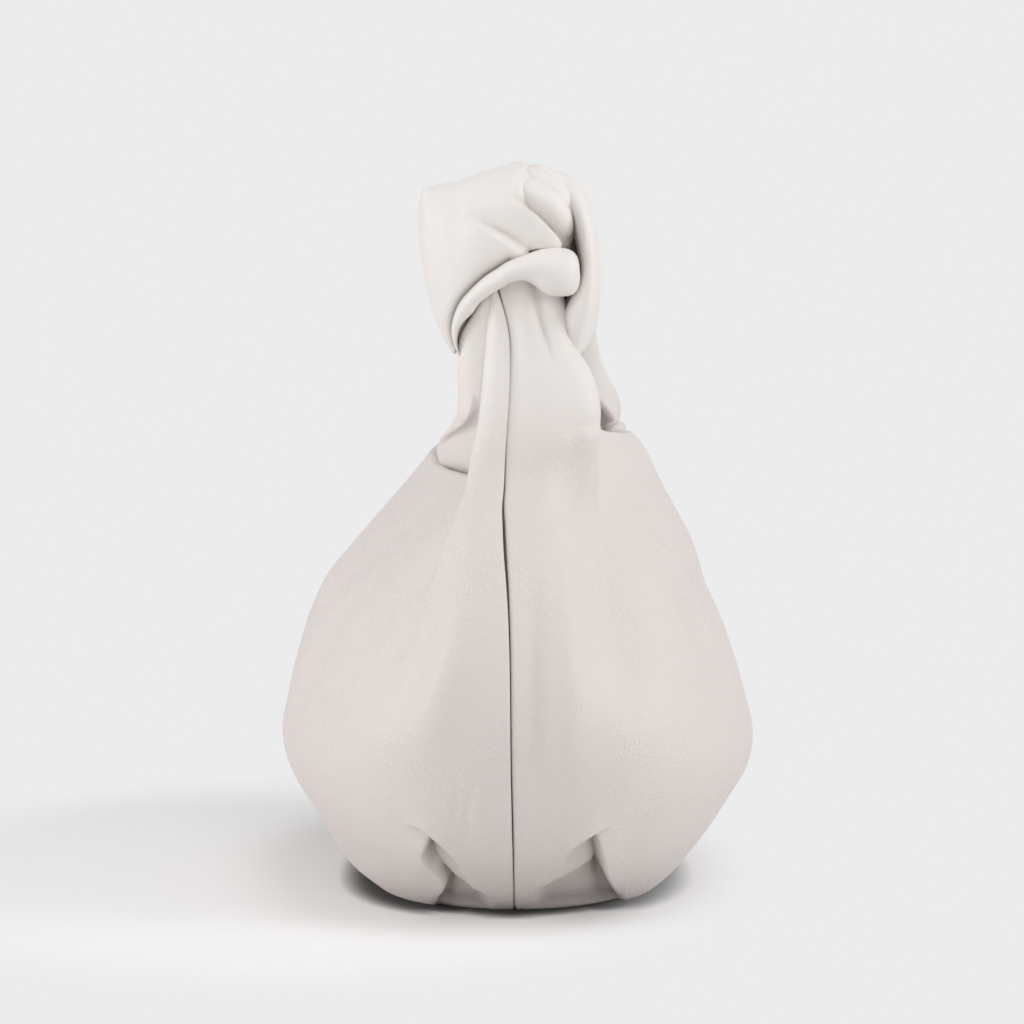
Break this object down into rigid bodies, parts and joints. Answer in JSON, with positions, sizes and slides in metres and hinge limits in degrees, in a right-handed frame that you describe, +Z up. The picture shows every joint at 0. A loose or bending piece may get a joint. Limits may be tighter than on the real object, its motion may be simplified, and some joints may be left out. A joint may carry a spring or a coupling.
{
  "type": "knotted leather handbag",
  "caption": "Soft leather hobo handbag whose handle strap is tied in a knot at one end, with a magnetic snap, a zip pocket and a slip pocket inside.",
  "frame": {"origin": "middle of the base, on the ground", "axes": "+Z up, X across the bag's depth with the front panel at -X, Y along its length with the knot at -Y"},
  "size_m": [0.195, 0.34, 0.2994],
  "materials": {
    "bag_leather": "soft satin, fine pebble grain",
    "strap_leather": "soft satin, fine pebble grain",
    "facing_leather": "matte",
    "lining_cloth": "matte twill",
    "pocket_cloth": "matte twill",
    "tape_cloth": "matte woven tape",
    "pale_gold": "polished",
    "steel": "plain"
  },
  "bodies": {
    "bag": {"front_panel": "bag_leather", "back_panel": "bag_leather", "near_neck": "strap_leather", "far_neck": "strap_leather", "seam_tape": "tape_cloth", "front_facing": "facing_leather", "back_facing": "facing_leather", "front_lining": "lining_cloth", "back_lining": "lining_cloth", "slip_pocket": "pocket_cloth", "pocket_bag": "pocket_cloth", "snap_stud": "pale_gold", "snap_socket": "pale_gold", "snap_stud_washer": "steel", "snap_socket_washer": "steel", "zip_frame": "facing_leather", "zip_tape_upper": "tape_cloth", "zip_tape_lower": "tape_cloth", "zip_teeth_upper": "pale_gold", "zip_teeth_lower": "pale_gold", "zip_end_stop": "pale_gold", "zip_start_stop": "pale_gold"},
    "handle": {"knotted_handle": "strap_leather"},
    "slider": {"zip_slider": "pale_gold"},
    "pull": {"zip_pull": "pale_gold"}
  },
  "joints": [
    {"name": "handle_swing", "type": "hinge", "parent": "bag", "child": "handle", "pos_m": [0, 0, 0.2], "axis": [0, 1, 0], "range_deg": [-60, 60], "deforming": ["near_neck", "far_neck"]},
    {"name": "slider_travel", "type": "slide", "parent": "bag", "child": "slider", "axis": [0, 1, 0], "range_m": [0, 0.093]},
    {"name": "pull_swing", "type": "hinge", "parent": "slider", "child": "pull", "pos_m": [0.06686, -0.0465, 0.11556], "axis": [-0.1961, 0, 0.9806], "range_deg": [0, 150]}
  ]
}
